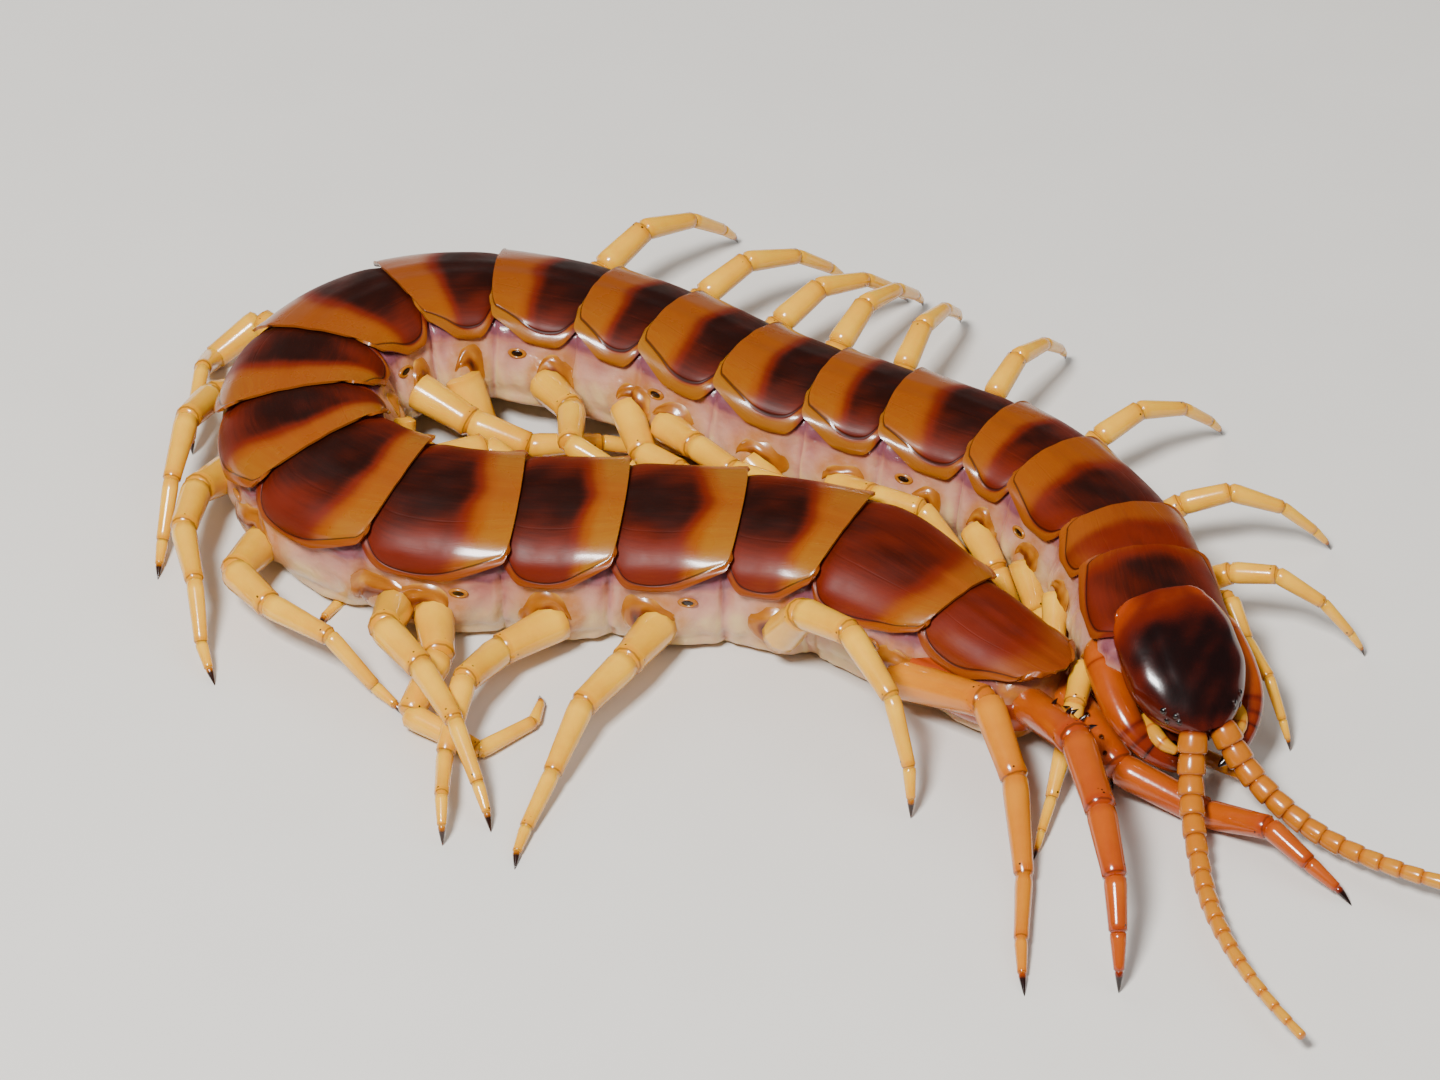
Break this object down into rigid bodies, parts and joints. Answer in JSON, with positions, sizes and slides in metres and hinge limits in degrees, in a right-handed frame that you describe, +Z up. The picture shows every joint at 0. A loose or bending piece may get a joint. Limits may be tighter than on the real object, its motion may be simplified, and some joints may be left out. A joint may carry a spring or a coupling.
{
  "type": "giant centipede",
  "caption": "Life-size still model of a giant centipede, its long jointed body bent like a hairpin, with glossy back plates, many legs, feelers, poison claws and trailing last legs.",
  "frame": {"origin": "on the ground, under the middle of the whole animal's outline", "axes": "+Z up; the animal lies in the XY plane with its head at +X, and its trailing end and head face -Y"},
  "size_m": [0.0897, 0.0826, 0.0106],
  "materials": {
    "trunk": "wet gloss, dark brown plates with amber rear bands over cream sides",
    "head_plate": "wet gloss, dark red",
    "amber_shell": "wet gloss, translucent amber",
    "leg_shell": "gloss, cream yellow"
  },
  "bodies": {
    "root": {"trunk_01_03": "trunk", "trunk_04_06": "trunk", "trunk_07_09": "trunk", "trunk_10_12": "trunk", "trunk_13_15": "trunk", "trunk_16_18": "trunk", "trunk_19_21": "trunk", "head": "head_plate", "poison_claw_plate": "amber_shell", "poison_claw_left": "amber_shell", "palp_left": "leg_shell", "antenna_left": "amber_shell", "last_leg_left": "amber_shell", "poison_claw_right": "amber_shell", "palp_right": "leg_shell", "antenna_right": "amber_shell", "last_leg_right": "amber_shell", "leg_left_01": "leg_shell", "leg_left_02": "leg_shell", "leg_left_03": "leg_shell", "leg_left_04": "leg_shell", "leg_left_05": "leg_shell", "leg_left_06": "leg_shell", "leg_left_07": "leg_shell", "leg_left_08": "leg_shell", "leg_left_09": "leg_shell", "leg_left_10": "leg_shell", "leg_left_11": "leg_shell", "leg_left_12": "leg_shell", "leg_left_13": "leg_shell", "leg_left_14": "leg_shell", "leg_left_15": "leg_shell", "leg_left_16": "leg_shell", "leg_left_17": "leg_shell", "leg_left_18": "leg_shell", "leg_left_19": "leg_shell", "leg_left_20": "leg_shell", "leg_right_01": "leg_shell", "leg_right_02": "leg_shell", "leg_right_03": "leg_shell", "leg_right_04": "leg_shell", "leg_right_05": "leg_shell", "leg_right_06": "leg_shell", "leg_right_07": "leg_shell", "leg_right_08": "leg_shell", "leg_right_09": "leg_shell", "leg_right_10": "leg_shell", "leg_right_11": "leg_shell", "leg_right_12": "leg_shell", "leg_right_13": "leg_shell", "leg_right_14": "leg_shell", "leg_right_15": "leg_shell", "leg_right_16": "leg_shell", "leg_right_17": "leg_shell", "leg_right_18": "leg_shell", "leg_right_19": "leg_shell", "leg_right_20": "leg_shell"}
  },
  "joints": []
}
